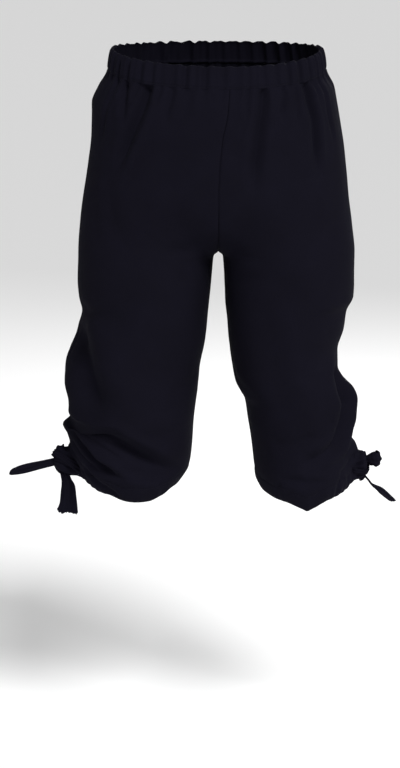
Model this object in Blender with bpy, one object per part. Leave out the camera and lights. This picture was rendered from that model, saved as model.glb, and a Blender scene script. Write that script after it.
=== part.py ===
"""Knee breeches with an elastic waist and tied hems, standing open as if worn.

The origin is the middle of the waist opening. +Z is up, the front faces -Y, and the right leg,
as worn, is on -X. Lengths in the tables are millimetres, turned to metres by MM.

The cloth is one surface, a function of the side, a place u round the leg and a level. u runs
from the centre front seam or the inseam (0) over the front to the side seam (0.5), and over the
back to the seam again (1). A level is the height at the side seam. The panels are cut from that
surface, so their edges meet at the seams.
"""

import math

import bmesh
import bpy
import numpy as np

MM = 0.001

# Cloth and seams
CLOTH_WALL = 1.8 * MM
CASING_WALL = 2.6 * MM
SEAM_GAP = 0.3 * MM
HEM_SEAM_GAP = 0.9 * MM

# Levels that the pieces end at
WAIST_TOP = 12.0
WAIST_SEAM = -21.0
HIP_FADE = -200.0
FORK_TOP = -200.0
CROTCH = -293.0
THIGH = -360.0
HEM_DRAW = -560.0
HEM_SEAM = -622.0
HEM_EDGE = -648.0

# How far the waist dips at the centre front, and rises at the centre back
WAIST_DIP = 21.0
WAIST_RISE = 3.0
WAIST_DIP_POWER = 1.25

# How far round from the inseam the fork reaches, in u, and how tightly it turns under
FORK_SPREAD = 0.075
FORK_CURVE = 2.6

# The squareness of the sections, where 2 is an ellipse
BODY_SQUARENESS = 2.25
LEG_SQUARENESS = 2.2

# Folds die away this far from the casings
SEAM_FADE = 14.0

# Fold paths are measured on the cloth with this length for one turn of u
FOLD_TURN = 620.0

# Elastic gathers of the waist casing
GATHERS = 44
GATHER_DEPTH = 2.3
GATHER_POINTS = 4
WAIST_PUFF = 1.0
WAIST_SCALLOP = 1.2

# Gathers of each hem, close to its knot
HEM_PITCH = 0.03
HEM_DEPTH = 2.2
HEM_SPREAD = 0.08
LOBE_SPREAD = 0.036

# The cloth of each kind of piece: its colour, near black with a little blue, and roughness
CLOTHS = {
    "panel_cloth": ((0.0085, 0.0083, 0.0140, 1.0), 0.85),
    "waist_cloth": ((0.0085, 0.0083, 0.0140, 1.0), 0.85),
    "hem_cloth": ((0.0085, 0.0083, 0.0140, 1.0), 0.85),
    "tie_cloth": ((0.0095, 0.0090, 0.0150, 1.0), 0.80),
}


def table(columns, rows):
    """A dictionary with one array for each named column."""
    return dict(zip(columns.split(), np.array(rows, float).T))


# Half-widths at the side seams, and depths of the front and the back, at each level
OUTLINE = table(
    "level right left front back",
    [
        (12, 159, 154, 113, 112),
        (-21, 165, 160, 122, 118),
        (-45, 179, 173, 129, 126),
        (-70, 189, 178, 133, 133),
        (-110, 189, 185, 136, 142),
        (-160, 194, 192, 137, 150),
        (-205, 202, 197, 135, 153),
        (-250, 208, 202, 131, 147),
        (-293, 211, 206, 127, 138),
        (-338, 212, 206, 121, 128),
        (-361, 210, 205, 118, 123),
        (-382, 205, 195, 116, 119),
        (-410, 213, 191, 113, 115),
        (-443, 225, 182, 110, 112),
        (-468, 230, 182, 108, 110),
        (-492, 230, 193, 107, 109),
        (-520, 225, 207, 106, 110),
        (-545, 224, 207, 105, 110),
        (-561, 237, 204, 103, 109),
        (-577, 229, 203, 101, 107),
        (-592, 221, 202, 98, 103),
        (-615, 214, 203, 93, 95),
        (-634, 207, 204, 84, 84),
        (-648, 199, 199, 74, 71),
    ],
)

# Half of the gap between the legs, on each side of the middle
INNER = table(
    "level right left",
    [
        (-293, 0, 0),
        (-296, 4, 4),
        (-301, 6, 6.5),
        (-318, 7.5, 8),
        (-345, 9.5, 9.5),
        (-369, 12, 11),
        (-394, 15, 14),
        (-430, 19, 17),
        (-468, 27, 22),
        (-490, 29, 26),
        (-505, 30.5, 33),
        (-520, 32.5, 41),
        (-555, 36, 46.5),
        (-592, 38.5, 53),
        (-620, 43, 56.5),
        (-636, 51, 59),
        (-648, 60, 65),
    ],
)

# How far the hem lies above or below its level, round each leg
HEM = table(
    "u right left",
    [
        (0.00, 2, -4),
        (0.10, -4, -13),
        (0.15, -13, -18),
        (0.19, -19, -22),
        (0.24, -20, -30.5),
        (0.256, -19.4, -33.5),
        (0.28, -17.5, -29),
        (0.33, -10, -19.5),
        (0.37, -8, -15),
        (0.43, -2, -10),
        (0.47, 3, -4),
        (0.50, 6, 0),
        (0.60, 2, -1),
        (0.75, -6, -8),
        (0.90, -3, -6),
        (1.00, 2, -4),
    ],
)

# How far the hem is drawn out towards its knot
LOBE = table(
    "level right left",
    [
        (-574, 0, 0),
        (-582, 1, 3),
        (-590, 4, 10),
        (-602, 12, 14),
        (-618, 15, 15),
        (-634, 15, 14),
        (-648, 9, 8),
    ],
)

# How far the centre front seam swings over to the left, as worn
SEAM_SWING = table(
    "level swing",
    [
        (-21, 16),
        (-60, 13),
        (-100, 6),
        (-150, 2),
        (-190, 0),
    ],
)

# Folds: the leg, how deep the trough is, half its width, and the path as u and level pairs
FOLDS = [
    ("right", 7.0, 12, [(0.215, -24), (0.214, -70), (0.225, -105), (0.25, -135), (0.27, -165)]),
    ("right", 4.0, 10, [(0.268, -24), (0.262, -45), (0.255, -80)]),
    ("right", 3.0, 16, [(0.286, -180), (0.288, -280)]),
    ("right", 14.0, 20, [(0.44, -395), (0.42, -437), (0.38, -476), (0.345, -513), (0.32, -545)]),
    ("right", 8.0, 11, [(0.47, -560), (0.42, -567), (0.376, -577), (0.332, -588), (0.28, -600)]),
    ("right", 11.0, 12, [(0.38, -550), (0.316, -559), (0.238, -579), (0.16, -600), (0.11, -614)]),
    ("right", 7.0, 10, [(0.47, -590), (0.40, -594), (0.354, -602), (0.30, -612)]),
    ("right", 4.0, 11, [(0.28, -602), (0.216, -608), (0.16, -619)]),
    ("right", 5.0, 13, [(0.79, -24), (0.78, -70), (0.755, -130)]),
    ("right", 6.0, 18, [(0.66, -296), (0.78, -312), (0.90, -300)]),
    ("right", 6.0, 18, [(0.60, -418), (0.70, -446), (0.82, -438)]),
    ("right", 8.0, 11, [(0.55, -556), (0.64, -566), (0.74, -584), (0.86, -600)]),
    ("right", 6.0, 10, [(0.54, -590), (0.62, -598), (0.71, -612)]),
    ("left", 4.0, 13, [(0.112, -24), (0.102, -53), (0.095, -100), (0.085, -170)]),
    ("left", 5.0, 13, [(0.285, -24), (0.268, -55), (0.27, -100), (0.262, -150)]),
    ("left", 3.0, 10, [(0.18, -24), (0.17, -50)]),
    ("left", 5.0, 14, [(0.05, -290), (0.066, -320), (0.084, -385)]),
    ("left", 13.0, 16, [(0.45, -450), (0.405, -490), (0.39, -530), (0.375, -562), (0.33, -583),
                        (0.25, -592)]),
    ("left", 5.0, 13, [(0.73, -24), (0.74, -80), (0.72, -150)]),
    ("left", 6.0, 18, [(0.68, -306), (0.79, -318), (0.92, -303)]),
    ("left", 6.0, 17, [(0.58, -470), (0.67, -492), (0.80, -486)]),
    ("left", 7.0, 12, [(0.55, -560), (0.65, -578), (0.78, -596)]),
    ("left", 5.0, 10, [(0.54, -592), (0.63, -602), (0.72, -613)]),
]

PANEL_LEVELS = [
    *(-21, -33, -48, -70, -95, -125, -160, -200),
    *(-232, -255, -274, -285, -291, -293),
    *(-297, -305, -322, -347, -372, -396, -420, -444, -466, -487),
    *(-506, -523, -538, -550, -560, -569, -578, -587, -596, -605, -613.5, -622),
]
PANEL_COLUMNS = 16
PANEL_CROWDING = 1.15

HEM_LEVELS = [HEM_SEAM, -635, HEM_EDGE]
HEM_NEAR = 0.12
HEM_NEAR_COLUMNS = 30
HEM_FAR_COLUMNS = 26

# Each knot: the level of its middle, its half-width and half-height on the cloth, how far it
# stands out, its pleats, and how far its frill stands up
KNOTS = {
    "right": {"level": -625, "wide": 17, "tall": 21, "out": 24, "pleats": 7, "frill": 11},
    "left": {"level": -626, "wide": 15, "tall": 22, "out": 9, "pleats": 6, "frill": 6},
}
KNOT_GAP = 1.0
KNOT_POINTS = 22
KNOT_PROFILE = table(
    "reach stand",
    [
        (0.35, 0.0),
        (0.70, 0.0),
        (0.92, 0.02),
        (1.00, 0.16),
        (0.98, 0.38),
        (0.86, 0.60),
        (0.62, 0.82),
        (0.32, 0.96),
    ],
)

# The free ends of the ties, each a strip along a path. "ax ay az" is the way across it.
TAILS = {
    "tie_tail_right_out": table(
        "x y z width ax ay az",
        [
            (-253.2, -2, -620, 13, 0.15, 0.0, 1.0),
            (-275, -3, -625, 15, 0.2, -0.1, 1.0),
            (-296, -5, -629.5, 16, 0.25, -0.1, 1.0),
            (-318, -8, -634, 13, 0.35, -0.1, 1.0),
        ],
    ),
    "tie_tail_right_down": table(
        "x y z width ax ay az",
        [
            (-233, -8, -641.5, 13, 1.0, 0.2, 0.0),
            (-229, -8, -658, 22, 1.0, 0.2, 0.0),
            (-229, -8, -679, 26, 1.0, 0.1, 0.0),
            (-231, -8, -698, 33, 1.0, 0.0, -0.06),
        ],
    ),
    "tie_tail_left_down": table(
        "x y z width ax ay az",
        [
            (230, 0, -645.0, 12, -0.1, 1.0, 0.0),
            (239, -2, -655, 15, 0.0, 1.0, 0.05),
            (253, -5, -665, 19, 0.2, 1.0, 0.25),
            (271, -8, -680, 16, 0.25, 1.0, 0.35),
        ],
    ),
}
TAIL_CREASE = 1.1
TAIL_ROWS = 8
TAIL_COLUMNS = 6

# The loop of the left tie: its middle, its reach outwards, its depth and its height
LOOP_CENTRE = (240.8, 0.0, -615.0)
LOOP_REACH = 10.5
LOOP_DEPTH = 8.0
LOOP_HEIGHT = 24.0
LOOP_POINTS = 20


def smooth(x):
    """0 below 0, 1 above 1, and an S-curve between."""
    x = np.clip(x, 0.0, 1.0)
    return x * x * (3.0 - 2.0 * x)


def read(rows, key, column, at):
    """A column of a table at any place between its rows, on a curve that never overshoots."""
    x, y = rows[key], rows[column]
    if x[0] > x[-1]:
        x, y = x[::-1], y[::-1]
    step = np.diff(x)
    slope = np.diff(y) / step
    middle = np.where(slope[1:] * slope[:-1] > 0, 2 * slope[1:] * slope[:-1], 0.0)
    total = slope[1:] + slope[:-1]
    middle = middle / np.where(np.abs(total) < 1e-9, 1.0, total)
    tangent = np.concatenate([[slope[0]], middle, [slope[-1]]])
    at = np.clip(at, x[0], x[-1])
    i = np.clip(np.searchsorted(x, at) - 1, 0, len(step) - 1)
    t = (at - x[i]) / step[i]
    h00 = (1 + 2 * t) * (1 - t) ** 2
    h10 = t * (1 - t) ** 2
    h01 = t * t * (3 - 2 * t)
    h11 = t * t * (t - 1)
    return (
        h00 * y[i]
        + h10 * step[i] * tangent[i]
        + h01 * y[i + 1]
        + h11 * step[i] * tangent[i + 1]
    )


def rounded(angle, squareness):
    """The radius of a superellipse of half-width 1."""
    c, s = np.abs(np.cos(angle)), np.abs(np.sin(angle))
    return (c**squareness + s**squareness) ** (-1.0 / squareness)


def body_section(side, u, level):
    """Half of a section above the fork, from the centre front round the side to the back."""
    width = read(OUTLINE, "level", side, level)
    front = read(OUTLINE, "level", "front", level)
    back = read(OUTLINE, "level", "back", level)
    swing = read(SEAM_SWING, "level", "swing", level)
    angle = math.pi * u
    r = rounded(angle, BODY_SQUARENESS)
    over = -swing if side == "right" else swing
    across = width * r * np.sin(angle) + over * np.clip(1 - 2 * u, 0, 1) ** 2
    depth = np.where(np.cos(angle) > 0, front, back)
    return across, -depth * r * np.cos(angle)


def leg_section(side, u, level):
    """A whole section of one leg, from the inseam round the front, the side and the back."""
    outer = read(OUTLINE, "level", side, level)
    inner = read(INNER, "level", side, level)
    front = read(OUTLINE, "level", "front", level)
    back = read(OUTLINE, "level", "back", level)
    angle = 2 * math.pi * u
    r = rounded(angle, LEG_SQUARENESS)
    inwards = (1 + r * np.cos(angle)) / 2
    local = 1 + 3 * np.exp((level - CROTCH) / 40.0)
    across = outer * (1 - inwards) + inner * inwards**local
    along = (back - front) / 2 - (back + front) / 2 * r * np.sin(angle)
    return across, along


def fork(u, level):
    """How far the body has turned into a leg. At the seam it arrives level at the crotch."""
    t = np.clip((FORK_TOP - level) / (FORK_TOP - CROTCH), 0.0, 1.0)
    at_seam = 1.0 - (1.0 - t**FORK_CURVE) ** (1.0 / FORK_CURVE)
    at_thigh = smooth((FORK_TOP - level) / (FORK_TOP - THIGH))
    near = np.exp(-((np.minimum(u, 1 - u) / FORK_SPREAD) ** 2))
    return near * at_seam + (1 - near) * at_thigh


def height(side, u, level):
    """The real height of a point, with the dip of the waist and the swing of the hem."""
    c = np.cos(math.pi * u)
    dip = -WAIST_DIP * np.clip(c, 0, 1) ** WAIST_DIP_POWER
    dip = dip + WAIST_RISE * np.clip(-c, 0, 1)
    at_waist = smooth((level - HIP_FADE) / (WAIST_SEAM - HIP_FADE))
    at_hem = smooth((HEM_DRAW - level) / (HEM_DRAW - HEM_SEAM))
    return level + dip * at_waist + read(HEM, "u", side, u) * at_hem


def form(side, u, level):
    """A point of the cloth without its folds, in millimetres."""
    u, level = np.broadcast_arrays(np.asarray(u, float), np.asarray(level, float))
    x_body, y_body = body_section(side, u, level)
    x_leg, y_leg = leg_section(side, u, level)
    w = fork(u, level)
    x = (1 - w) * x_body + w * x_leg
    y = (1 - w) * y_body + w * y_leg
    reach = read(LOBE, "level", side, level) * (level < LOBE["level"][0])
    x = x + reach * np.exp(-(((u - 0.5) / LOBE_SPREAD) ** 2))
    sign = -1.0 if side == "right" else 1.0
    return np.stack([sign * x, y, height(side, u, level)], axis=-1)


def fold_depth(side, u, level):
    """How far the folds press the cloth in at a point."""
    total = np.zeros(np.broadcast(u, level).shape)
    here = np.stack(np.broadcast_arrays(u * FOLD_TURN, level), axis=-1)
    for leg, depth, width, path in FOLDS:
        if leg != side:
            continue
        line = np.array(path, float) * (FOLD_TURN, 1.0)
        lengths = np.linalg.norm(np.diff(line, axis=0), axis=1)
        starts = np.concatenate([[0], np.cumsum(lengths)])
        nearest = np.full(total.shape, np.inf)
        share = np.zeros(total.shape)
        for a, b, start, length in zip(line[:-1], line[1:], starts, lengths):
            t = np.clip(((here - a) @ (b - a)) / length**2, 0, 1)
            off = np.linalg.norm(here - a - t[..., None] * (b - a), axis=-1)
            closer = off < nearest
            nearest = np.where(closer, off, nearest)
            share = np.where(closer, (start + t * length) / starts[-1], share)
        taper = smooth(share / 0.3) * smooth((1 - share) / 0.3)
        trough = np.exp(-((nearest / width) ** 2))
        banks = np.exp(-(((nearest - 2.0 * width) / width) ** 2))
        total = total + depth * taper * (trough - 0.22 * banks)
    fade = smooth((level - HEM_SEAM) / SEAM_FADE) * smooth((WAIST_SEAM - level) / SEAM_FADE)
    return total * fade


def facing(function, side, u, level):
    """The outward direction of a surface, from its own slopes."""
    du, dl = 0.004, 1.0
    round_it = function(side, u + du, level) - function(side, u - du, level)
    up = function(side, u, level + dl) - function(side, u, level - dl)
    n = np.cross(round_it, up)
    if side != "left":
        n = -n
    return n / np.maximum(np.linalg.norm(n, axis=-1, keepdims=True), 1e-12)


def wrapped(side, u, level):
    """The form, run on past u = 0 and 1 into the other leg above the crotch, or round the leg."""
    u, level = np.broadcast_arrays(np.asarray(u, float), np.asarray(level, float))
    points = form(side, np.clip(u, 0, 1), level)
    over = np.maximum(-u, u - 1)
    mirrored = form(side, np.where(u < 0, -u, np.where(u > 1, 2 - u, u)), level)
    ends = form(side, np.where(u < 0, 0.0, 1.0), level)
    across = 2 * ends - mirrored
    mirrored = np.where(np.array([True, False, False]), across, mirrored)
    round_leg = form(side, np.mod(u, 1.0), level)
    beyond = np.where((level > CROTCH)[..., None], mirrored, round_leg)
    return np.where((over > 0)[..., None], beyond, points)


def cloth(side, u, level):
    """A point of the outer face of the cloth with its folds, in millimetres."""
    u, level = np.broadcast_arrays(np.asarray(u, float), np.asarray(level, float))
    out = facing(wrapped, side, u, level)
    press = fold_depth(side, np.clip(u, 0, 1), level)
    return wrapped(side, u, level) - out * press[..., None]


def ring(_, s, level):
    """The cloth all round the body. s runs from the centre front over the right to 1."""
    s = np.mod(s, 1.0)
    right = cloth("right", np.clip(2 * s, 0, 1), level)
    left = cloth("left", np.clip(2 - 2 * s, 0, 1), level)
    return np.where((s <= 0.5)[..., None], right, left)


def gather_wave(s):
    """The waves of the elastic, of uneven width and depth, flatter at the centre front."""
    drift = 0.34 * np.sin(2 * math.pi * 5 * s + 1.0) + 0.27 * np.sin(2 * math.pi * 11 * s)
    wave = np.cos(2 * math.pi * GATHERS * s + drift)
    uneven = 0.8 + 0.3 * np.sin(2 * math.pi * 7 * s + 0.7)
    middle = np.exp(-((np.minimum(s, 1 - s) / 0.05) ** 2))
    return wave * uneven * (1 - 0.55 * middle)


def waist_ring():
    """The elastic casing of the waist."""
    s = np.arange(GATHERS * GATHER_POINTS) / (GATHERS * GATHER_POINTS)
    height_share = np.array([0.0, 0.5, 1.0])
    level = WAIST_SEAM + SEAM_GAP / MM / 2 + (WAIST_TOP - WAIST_SEAM) * height_share
    s, level = np.meshgrid(s, level)
    out = facing(ring, "right", s, level)
    wave = gather_wave(s)
    puff = WAIST_PUFF * np.array([0.0, 1.0, 0.0])[:, None]
    outer = ring("right", s, level) + out * (GATHER_DEPTH * wave + puff)[..., None]
    outer[-1, :, 2] += WAIST_SCALLOP * wave[-1]
    inner = outer - out * CASING_WALL / MM
    return wall_mesh("waist_casing", outer, inner, closed=True)


def hem_cloth(side, u, level):
    """A point of a hem casing, with the gathers beside its knot."""
    out = facing(wrapped, side, u, level)
    wave = np.cos(2 * math.pi * (u - 0.5) / HEM_PITCH)
    wave = wave * HEM_DEPTH * np.exp(-(((u - 0.5) / HEM_SPREAD) ** 2))
    return cloth(side, u, level) + out * wave[..., None]


def hem_ring(side):
    """The casing of a hem, drawn together at its knot."""
    near = np.linspace(0.5 - HEM_NEAR, 0.5 + HEM_NEAR, HEM_NEAR_COLUMNS + 1)
    far = np.linspace(0.5 + HEM_NEAR, 1.5 - HEM_NEAR, HEM_FAR_COLUMNS + 1)
    u = np.mod(np.concatenate([near[:-1], far[:-1]]), 1.0)
    level = np.array(HEM_LEVELS, float)
    level[0] -= HEM_SEAM_GAP / MM / 2
    u, level = np.meshgrid(u, level)
    outer = hem_cloth(side, u, level)
    inner = outer - facing(wrapped, side, u, level) * CASING_WALL / MM
    return wall_mesh(f"hem_casing_{side}", outer, inner, closed=True)


def knot(side):
    """A bunched knot: pleated rings that follow the hem at its foot and close in outwards."""
    row = KNOTS[side]
    sign = -1.0 if side == "right" else 1.0
    angle = 2 * math.pi * np.arange(KNOT_POINTS) / KNOT_POINTS
    middle = cloth(side, np.array([0.5]), np.array([float(row["level"])]))[0]
    outwards = np.array([sign, 0.0, 0.0])
    clear = HEM_DEPTH + KNOT_GAP

    def place(reach, stand):
        pleat = 1 + 0.13 * np.cos(row["pleats"] * angle + 3.0 * stand)
        inner_tip = np.exp(-(((angle - 1.75) / 0.22) ** 2) - ((stand - 0.2) / 0.25) ** 2)
        outer_tip = np.exp(-(((angle - 1.35) / 0.25) ** 2) - ((stand - 0.8) / 0.22) ** 2)
        along = row["wide"] * reach * pleat * np.cos(angle)
        frill = row["frill"] * (inner_tip + outer_tip)
        up = row["tall"] * reach * pleat * np.sin(angle) + frill
        u = 0.5 + along / FOLD_TURN
        level = row["level"] + up
        foot = cloth(side, u, level) + facing(wrapped, side, u, level) * clear
        free = middle + np.stack([0 * along, along, up], axis=-1) + outwards * clear
        share = smooth(stand / 0.5)
        return foot * (1 - share) + free * share + outwards * row["out"] * stand

    rings = np.array([place(r, h) for r, h in zip(KNOT_PROFILE["reach"], KNOT_PROFILE["stand"])])
    first = middle + outwards * clear
    last = middle + outwards * (clear + row["out"])
    return lump_mesh(f"tie_knot_{side}", rings, first, last)


def tail(name):
    """A free end of a tie: a creased strip along its path."""
    rows = TAILS[name]
    keys = np.arange(len(rows["x"]), dtype=float)
    lines = dict(rows, key=keys)
    t = np.linspace(0, keys[-1], TAIL_ROWS)
    middle = np.stack([read(lines, "key", k, t) for k in "xyz"], axis=-1)
    across = np.stack([read(lines, "key", k, t) for k in ("ax", "ay", "az")], axis=-1)
    across /= np.linalg.norm(across, axis=-1, keepdims=True)
    along = np.gradient(middle, axis=0)
    out = np.cross(along, across)
    out /= np.linalg.norm(out, axis=-1, keepdims=True)
    width = read(lines, "key", "width", t)
    v = np.linspace(-0.5, 0.5, TAIL_COLUMNS + 1)
    crease = TAIL_CREASE * np.cos(2 * math.pi * 2 * v)
    outer = (
        middle[:, None]
        + across[:, None] * (width[:, None] * v)[..., None]
        + out[:, None] * crease[None, :, None]
    )
    inner = outer - out[:, None] * CLOTH_WALL / MM
    return wall_mesh(name, outer, inner, closed=False)


def loop():
    """The small loop of the left tie, standing out sideways from the knot."""
    angle = 2 * math.pi * np.arange(LOOP_POINTS) / LOOP_POINTS
    share = np.array([-0.5, -0.17, 0.17, 0.5])[:, None]
    bulge = 1 - 0.25 * (2 * share) ** 2
    taper = 0.82 + 0.18 * np.cos(angle)
    grids = []
    for inset in (0.0, CLOTH_WALL / MM):
        x = LOOP_CENTRE[0] + (LOOP_REACH * bulge - inset) * np.cos(angle)
        y = LOOP_CENTRE[1] + (LOOP_DEPTH * bulge - inset) * np.sin(angle)
        z = LOOP_CENTRE[2] + LOOP_HEIGHT * share * taper + 0 * x
        grids.append(np.stack([x, y, z], axis=-1))
    return wall_mesh("tie_loop_left", grids[0], grids[1], closed=True)


def add_object(name, mesh, cloth_name, collection):
    fabric = bpy.data.materials.get(cloth_name)
    if fabric is None:
        colour, roughness = CLOTHS[cloth_name]
        fabric = bpy.data.materials.new(cloth_name)
        fabric.use_nodes = True
        shader = fabric.node_tree.nodes["Principled BSDF"]
        shader.inputs["Base Color"].default_value = colour
        shader.inputs["Roughness"].default_value = roughness
        shader.inputs["Metallic"].default_value = 0.0
    mesh.materials.append(fabric)
    collection.objects.link(bpy.data.objects.new(name, mesh))


def wall_mesh(name, outer, inner, closed):
    """A closed wall between two grids of points. A closed grid runs round a ring."""
    rows, columns = outer.shape[:2]
    points = np.concatenate([outer.reshape(-1, 3), inner.reshape(-1, 3)]) * MM
    back = rows * columns
    around = columns if closed else columns - 1

    def at(row, column):
        return row * columns + column % columns

    faces = []
    for row in range(rows - 1):
        for column in range(around):
            a, b = at(row, column), at(row + 1, column)
            c, d = at(row + 1, column + 1), at(row, column + 1)
            falling = np.linalg.norm(points[a] - points[c]) < np.linalg.norm(points[b] - points[d])
            for face in ((a, b, c), (a, c, d)) if falling else ((a, b, d), (b, c, d)):
                faces.append(face)
                faces.append(tuple(back + i for i in reversed(face)))
    for column in range(around):
        a, b = at(0, column), at(0, column + 1)
        faces.append((a, b, back + b, back + a))
        a, b = at(rows - 1, column), at(rows - 1, column + 1)
        faces.append((b, a, back + a, back + b))
    if not closed:
        for row in range(rows - 1):
            a, b = at(row, 0), at(row + 1, 0)
            faces.append((b, a, back + a, back + b))
            a, b = at(row, columns - 1), at(row + 1, columns - 1)
            faces.append((a, b, back + b, back + a))
    return finished(name, points, faces)


def lump_mesh(name, rings, first, last):
    """A closed lump: rings of points between two end points."""
    count, around = rings.shape[:2]
    points = np.concatenate([rings.reshape(-1, 3), [first], [last]]) * MM
    faces = []
    for i in range(count - 1):
        for j in range(around):
            a, b = i * around + j, i * around + (j + 1) % around
            faces.append((a, b, b + around, a + around))
    for j in range(around):
        faces.append((count * around, (j + 1) % around, j))
        base = (count - 1) * around
        faces.append((count * around + 1, base + j, base + (j + 1) % around))
    return finished(name, points, faces)


def finished(name, points, faces):
    """A mesh of the faces, all facing out, shaded smooth except at its sharp edges."""
    mesh = bpy.data.meshes.new(name)
    mesh.from_pydata([tuple(p) for p in points], [], faces)
    shape = bmesh.new()
    shape.from_mesh(mesh)
    bmesh.ops.recalc_face_normals(shape, faces=shape.faces)
    shape.to_mesh(mesh)
    shape.free()
    mesh.shade_smooth()
    mesh.set_sharp_from_angle(angle=math.radians(65))
    return mesh


def panel(name, side, from_u, to_u):
    """A front or back panel: a wall over its part of the cloth."""
    share = 1 - (1 - np.arange(PANEL_COLUMNS + 1) / PANEL_COLUMNS) ** PANEL_CROWDING
    u = from_u + (to_u - from_u) * share
    level = np.array(PANEL_LEVELS, float)
    level[0] -= SEAM_GAP / MM / 2
    level[-1] += HEM_SEAM_GAP / MM / 2
    u, level = np.meshgrid(u, level)
    outer = cloth(side, u, level)
    inner = outer - facing(wrapped, side, u, level) * CLOTH_WALL / MM
    for grid in (outer, inner):
        pull_in_edges(grid)
        keep_to_side(grid, side, level)
    return wall_mesh(name, outer, inner, closed=False)


def pull_in_edges(grid):
    """Moves the two long edges of a grid in, by half the gap at a seam."""
    for edge, beside in ((0, 1), (-1, -2)):
        way = grid[:, beside] - grid[:, edge]
        way /= np.linalg.norm(way, axis=-1, keepdims=True)
        grid[:, edge] += way * SEAM_GAP / MM / 2


def keep_to_side(grid, side, level):
    """Moves points near the crotch off the middle plane, by half the gap at a seam."""
    sign = -1.0 if side == "right" else 1.0
    off = np.maximum(sign * grid[..., 0], SEAM_GAP / MM / 2)
    grid[..., 0] = np.where(level < FORK_TOP + 1, sign * off, grid[..., 0])


def main():
    for thing in list(bpy.data.objects):
        bpy.data.objects.remove(thing)
    breeches = bpy.data.collections.new("knee_breeches")
    bpy.context.scene.collection.children.link(breeches)
    for side in ("right", "left"):
        pieces = {
            f"front_{side}": (panel(f"front_{side}", side, 0.0, 0.5), "panel_cloth"),
            f"back_{side}": (panel(f"back_{side}", side, 1.0, 0.5), "panel_cloth"),
            f"hem_casing_{side}": (hem_ring(side), "hem_cloth"),
            f"tie_knot_{side}": (knot(side), "tie_cloth"),
        }
        for name, (mesh, cloth_name) in pieces.items():
            add_object(name, mesh, cloth_name, breeches)
    add_object("waist_casing", waist_ring(), "waist_cloth", breeches)
    add_object("tie_loop_left", loop(), "tie_cloth", breeches)
    for name in TAILS:
        add_object(name, tail(name), "tie_cloth", breeches)


main()
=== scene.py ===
import math

import bpy
import numpy as np
from mathutils import Euler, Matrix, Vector


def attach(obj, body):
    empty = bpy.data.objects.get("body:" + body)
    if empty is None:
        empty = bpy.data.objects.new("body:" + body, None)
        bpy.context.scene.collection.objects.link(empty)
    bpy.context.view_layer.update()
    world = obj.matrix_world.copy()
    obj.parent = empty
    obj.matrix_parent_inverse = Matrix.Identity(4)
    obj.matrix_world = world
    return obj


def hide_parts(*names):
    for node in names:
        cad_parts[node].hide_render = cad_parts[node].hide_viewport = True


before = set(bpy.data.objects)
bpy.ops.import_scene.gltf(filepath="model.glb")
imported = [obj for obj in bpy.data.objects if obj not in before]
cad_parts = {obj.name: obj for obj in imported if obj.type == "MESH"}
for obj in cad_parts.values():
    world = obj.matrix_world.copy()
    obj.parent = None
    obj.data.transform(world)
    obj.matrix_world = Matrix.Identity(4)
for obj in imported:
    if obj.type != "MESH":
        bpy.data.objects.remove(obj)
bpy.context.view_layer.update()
print("frame loaded")

mm = 0.001
sides = ("right", "left")  # as worn, so the right leg is on -X

# the same surface as the solids, in millimetres

garment = {
    "waistTop": 12.0,        # levels are heights at the side seam
    "waistSeam": -21.0,
    "hipFade": -200.0,
    "forkTop": -200.0,
    "crotch": -293.0,
    "thigh": -360.0,
    "hemDraw": -560.0,
    "hemSeam": -622.0,
    "hemEdge": -648.0,
    "waistDip": 21.0,        # how far the front of the waist sits lower
    "waistRise": 3.0,        # and the back higher
    "waistDipPower": 1.25,
    "forkSpread": 0.075,     # how far round from the centre seam the crotch curve reaches, in u
    "forkCurve": 2.6,
    "forkRound": 3.0,        # rounds the inner side of the legs near the crotch
    "forkRoundFade": 40.0,
    "bodySquareness": 2.25,
    "legSquareness": 2.2,
    "turn": 620.0,           # millimetres of cloth for one turn of u
    "waistFade": 9.0,        # folds die away this far from the casings
    "hemFade": 12.0,
    "lobeSpread": 0.036,
    "wall": 1.2,
    "casingWall": 2.2,
}


def table(columns, rows):
    return dict(zip(columns.split(), np.array(rows, float).T))


# how far the cloth stands out from the middle, to each side, to the front and to the back
outline = table("level right left front back", [
    (12, 159, 154, 113, 112),
    (-21, 165, 160, 122, 118),
    (-45, 179, 173, 129, 126),
    (-70, 189, 178, 133, 133),
    (-110, 189, 185, 136, 142),
    (-160, 194, 192, 137, 150),
    (-205, 202, 197, 135, 153),
    (-250, 208, 202, 131, 147),
    (-293, 211, 206, 127, 138),
    (-338, 212, 206, 121, 128),
    (-361, 210, 205, 118, 123),
    (-382, 205, 195, 116, 119),
    (-410, 213, 191, 113, 115),
    (-443, 225, 182, 110, 112),
    (-468, 230, 182, 108, 110),
    (-492, 230, 193, 107, 109),
    (-520, 225, 207, 106, 110),
    (-545, 224, 207, 105, 110),
    (-561, 237, 204, 103, 109),
    (-577, 229, 203, 101, 107),
    (-592, 221, 202, 98, 103),
    (-615, 214, 203, 93, 95),
    (-634, 207, 204, 84, 84),
    (-648, 199, 199, 74, 71),
])

# where the inner side of each leg lies
legGap = table("level right left", [
    (-293, 0, 0),
    (-296, 4, 4),
    (-301, 6, 6.5),
    (-318, 7.5, 8),
    (-345, 9.5, 9.5),
    (-369, 12, 11),
    (-394, 15, 14),
    (-430, 19, 17),
    (-468, 27, 22),
    (-490, 29, 26),
    (-505, 30.5, 33),
    (-520, 32.5, 41),
    (-555, 36, 46.5),
    (-592, 38.5, 53),
    (-620, 43, 56.5),
    (-636, 51, 59),
    (-648, 60, 65),
])

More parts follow.
